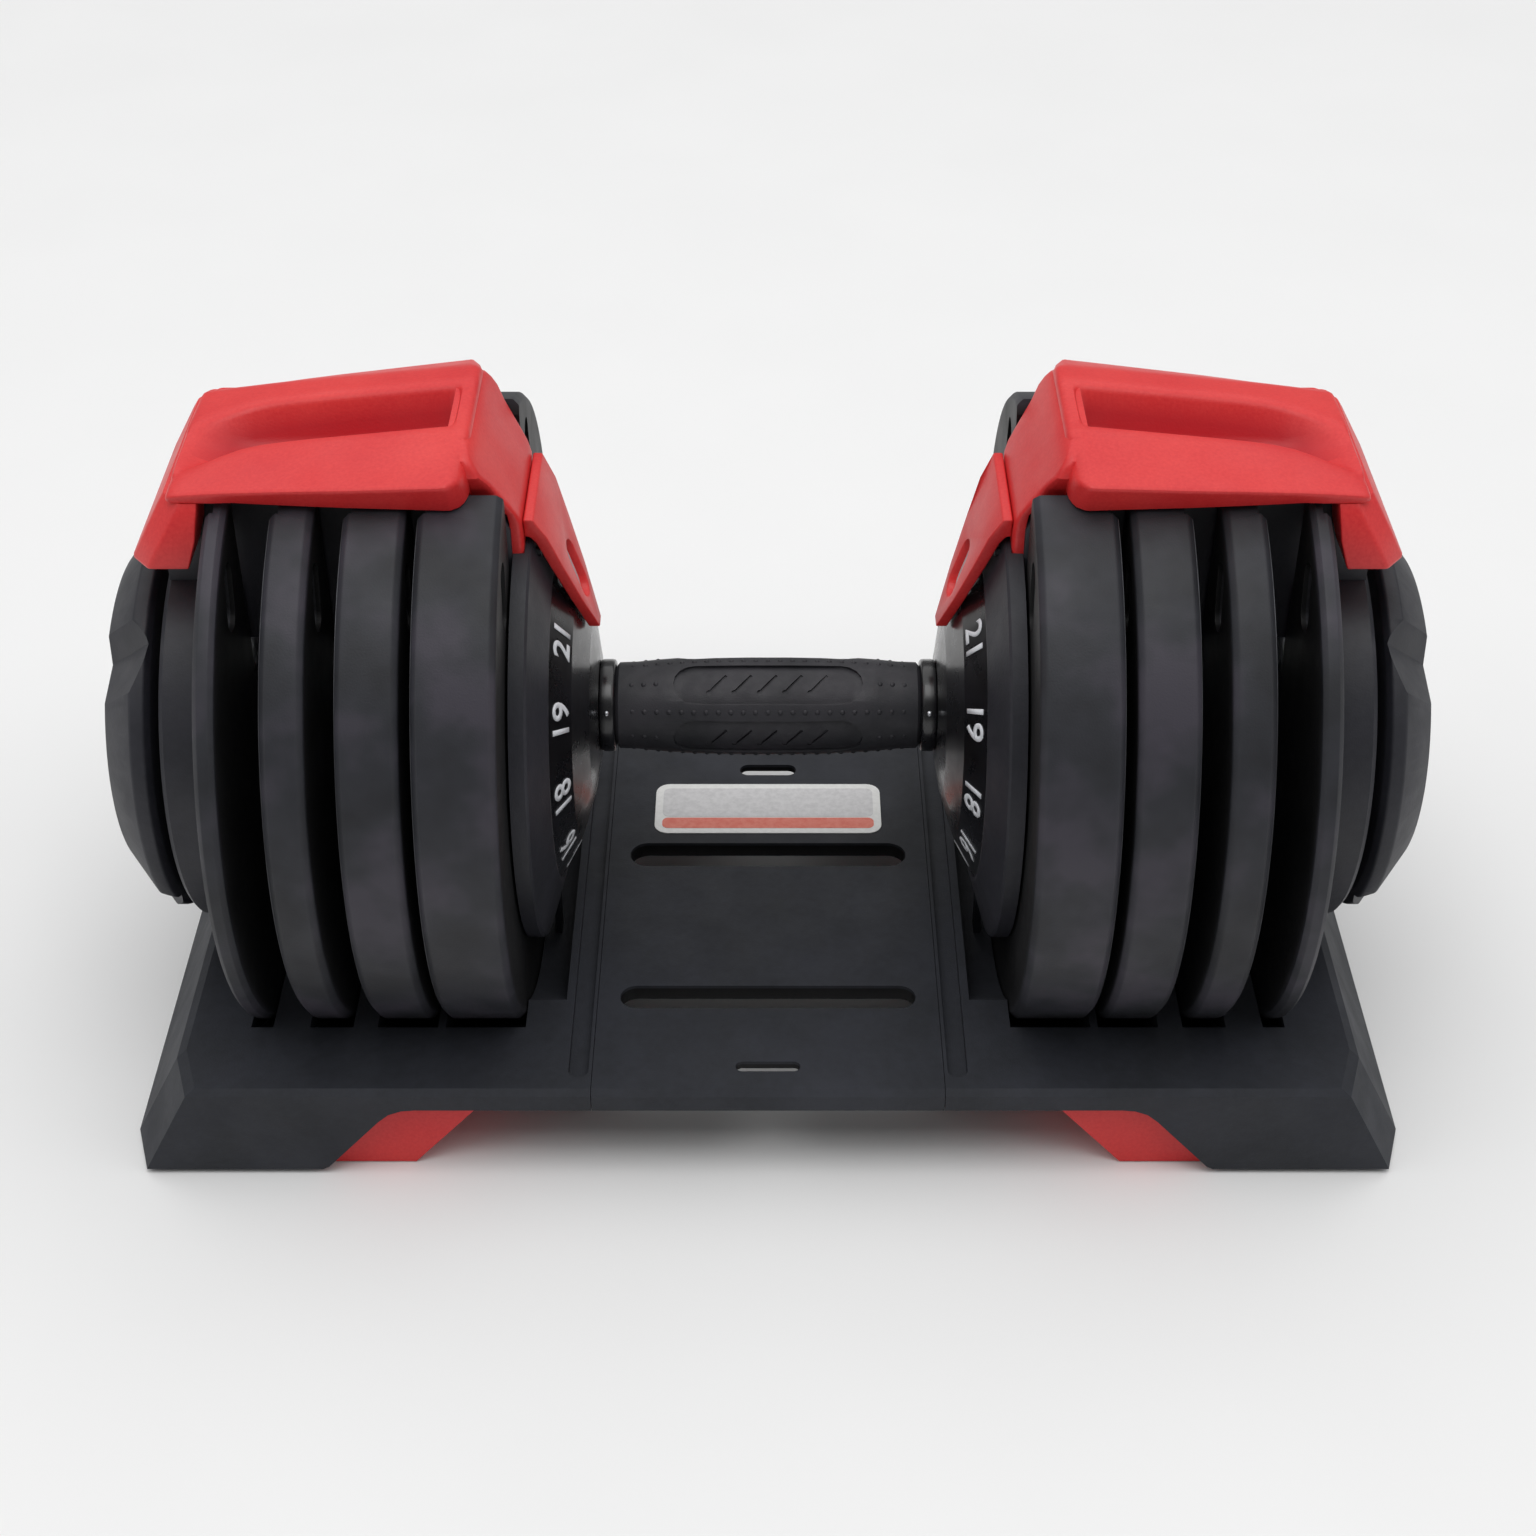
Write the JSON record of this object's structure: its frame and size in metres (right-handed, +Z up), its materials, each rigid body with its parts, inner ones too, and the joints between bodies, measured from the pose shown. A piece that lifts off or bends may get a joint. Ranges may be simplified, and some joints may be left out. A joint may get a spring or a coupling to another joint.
{
  "type": "adjustable dumbbell",
  "caption": "Adjustable dumbbell with covered plates, a turning handle and number rings that select the weight, and red saddles over each end, resting in a storage tray.",
  "frame": {"origin": "middle of the tray's footprint, on the floor that its rubber feet stand on", "axes": "+X along the handle, +Y to the back of the tray, +Z up"},
  "size_m": [0.4206, 0.214, 0.229],
  "materials": {
    "tray_plastic": "finely textured moulded plastic",
    "label_film": "printed film with a clear coat",
    "red_plastic": "satin moulded plastic",
    "pad_rubber": "matt",
    "zinc_steel": "zinc plated",
    "spring_steel": "drawn wire",
    "hub_plastic": "finely textured moulded plastic",
    "knob_plastic": "finely textured moulded plastic",
    "ring_gloss": "polished, with printed numbers",
    "sleeve_plastic": "plain moulded plastic",
    "lens_plastic": "milky window",
    "grip_rubber": "moulded rubber with raised pattern",
    "plate_cover_plastic": "finely textured moulded plastic",
    "plate_iron": "cast and painted"
  },
  "bodies": {
    "tray": {"tray_left": "tray_plastic", "tray_right": "tray_plastic", "center_deck": "tray_plastic", "deck_label": "label_film", "runner_left": "red_plastic", "runner_right": "red_plastic", "foot_pads": "pad_rubber", "tray_screws": "zinc_steel", "release_posts": "tray_plastic"},
    "carriage": {"inner_hub_left": "hub_plastic", "inner_hub_right": "hub_plastic", "outer_hub_left": "hub_plastic", "outer_hub_right": "hub_plastic", "saddle_left": "red_plastic", "saddle_right": "red_plastic", "pointer_left": "red_plastic", "pointer_right": "red_plastic", "pointer_lenses": "lens_plastic", "frame_screws": "zinc_steel", "lock_spring_left": "spring_steel", "lock_spring_right": "spring_steel"},
    "dial": {"axle_rod": "zinc_steel", "handle_tube": "zinc_steel", "grip": "grip_rubber", "collar_left": "ring_gloss", "collar_right": "ring_gloss", "number_ring_left": "ring_gloss", "number_ring_right": "ring_gloss", "selector_sleeve_left": "sleeve_plastic", "selector_sleeve_right": "sleeve_plastic", "selector_discs_left": "zinc_steel", "selector_discs_right": "zinc_steel", "lock_wheels": "zinc_steel", "knob_left": "knob_plastic", "knob_right": "knob_plastic", "axle_nuts": "zinc_steel", "knob_cap_left": "knob_plastic", "knob_cap_right": "knob_plastic"},
    "lock_left": {"lock_slider_left": "zinc_steel"},
    "lock_right": {"lock_slider_right": "zinc_steel"},
    "plate_left_1": {"plate_left_1_core": "plate_iron", "plate_left_1_cover": "plate_cover_plastic"},
    "plate_left_2": {"plate_left_2_core": "plate_iron", "plate_left_2_cover": "plate_cover_plastic"},
    "plate_left_3": {"plate_left_3_core": "plate_iron", "plate_left_3_cover": "plate_cover_plastic"},
    "plate_left_4": {"plate_left_4_core": "plate_iron", "plate_left_4_cover": "plate_cover_plastic"},
    "plate_right_1": {"plate_right_1_core": "plate_iron", "plate_right_1_cover": "plate_cover_plastic"},
    "plate_right_2": {"plate_right_2_core": "plate_iron", "plate_right_2_cover": "plate_cover_plastic"},
    "plate_right_3": {"plate_right_3_core": "plate_iron", "plate_right_3_cover": "plate_cover_plastic"},
    "plate_right_4": {"plate_right_4_core": "plate_iron", "plate_right_4_cover": "plate_cover_plastic"}
  },
  "joints": [
    {"name": "handle_lift", "type": "slide", "parent": "tray", "child": "carriage", "axis": [0, 0, 1], "range_m": [0, 0.25]},
    {"name": "weight_dial", "type": "hinge", "parent": "carriage", "child": "dial", "pos_m": [0, 0, 0.113], "axis": [-1, 0, 0], "continuous": true},
    {"name": "lock_drop_left", "type": "slide", "parent": "carriage", "child": "lock_left", "axis": [0, 0, -1], "range_m": [0, 0.004], "deforming": ["lock_spring_left"]},
    {"name": "plate_lift_left_1", "type": "slide", "parent": "tray", "child": "plate_left_1", "axis": [0, 0, 1], "range_m": [0, 0.25]},
    {"name": "plate_lift_left_2", "type": "slide", "parent": "tray", "child": "plate_left_2", "axis": [0, 0, 1], "range_m": [0, 0.25]},
    {"name": "plate_lift_left_3", "type": "slide", "parent": "tray", "child": "plate_left_3", "axis": [0, 0, 1], "range_m": [0, 0.25]},
    {"name": "plate_lift_left_4", "type": "slide", "parent": "tray", "child": "plate_left_4", "axis": [0, 0, 1], "range_m": [0, 0.25]},
    {"name": "lock_drop_right", "type": "slide", "parent": "carriage", "child": "lock_right", "axis": [0, 0, -1], "range_m": [0, 0.004], "deforming": ["lock_spring_right"]},
    {"name": "plate_lift_right_1", "type": "slide", "parent": "tray", "child": "plate_right_1", "axis": [0, 0, 1], "range_m": [0, 0.25]},
    {"name": "plate_lift_right_2", "type": "slide", "parent": "tray", "child": "plate_right_2", "axis": [0, 0, 1], "range_m": [0, 0.25]},
    {"name": "plate_lift_right_3", "type": "slide", "parent": "tray", "child": "plate_right_3", "axis": [0, 0, 1], "range_m": [0, 0.25]},
    {"name": "plate_lift_right_4", "type": "slide", "parent": "tray", "child": "plate_right_4", "axis": [0, 0, 1], "range_m": [0, 0.25]}
  ],
  "couplings": [
    {"joint": "lock_drop_left", "follows": "handle_lift", "ratio": 0.016},
    {"joint": "plate_lift_left_1", "follows": "handle_lift", "ratio": 1},
    {"joint": "plate_lift_left_2", "follows": "handle_lift", "ratio": 1},
    {"joint": "plate_lift_left_3", "follows": "handle_lift", "ratio": 1},
    {"joint": "plate_lift_left_4", "follows": "handle_lift", "ratio": 1},
    {"joint": "lock_drop_right", "follows": "handle_lift", "ratio": 0.016},
    {"joint": "plate_lift_right_1", "follows": "handle_lift", "ratio": 1},
    {"joint": "plate_lift_right_2", "follows": "handle_lift", "ratio": 1},
    {"joint": "plate_lift_right_3", "follows": "handle_lift", "ratio": 1},
    {"joint": "plate_lift_right_4", "follows": "handle_lift", "ratio": 1}
  ]
}
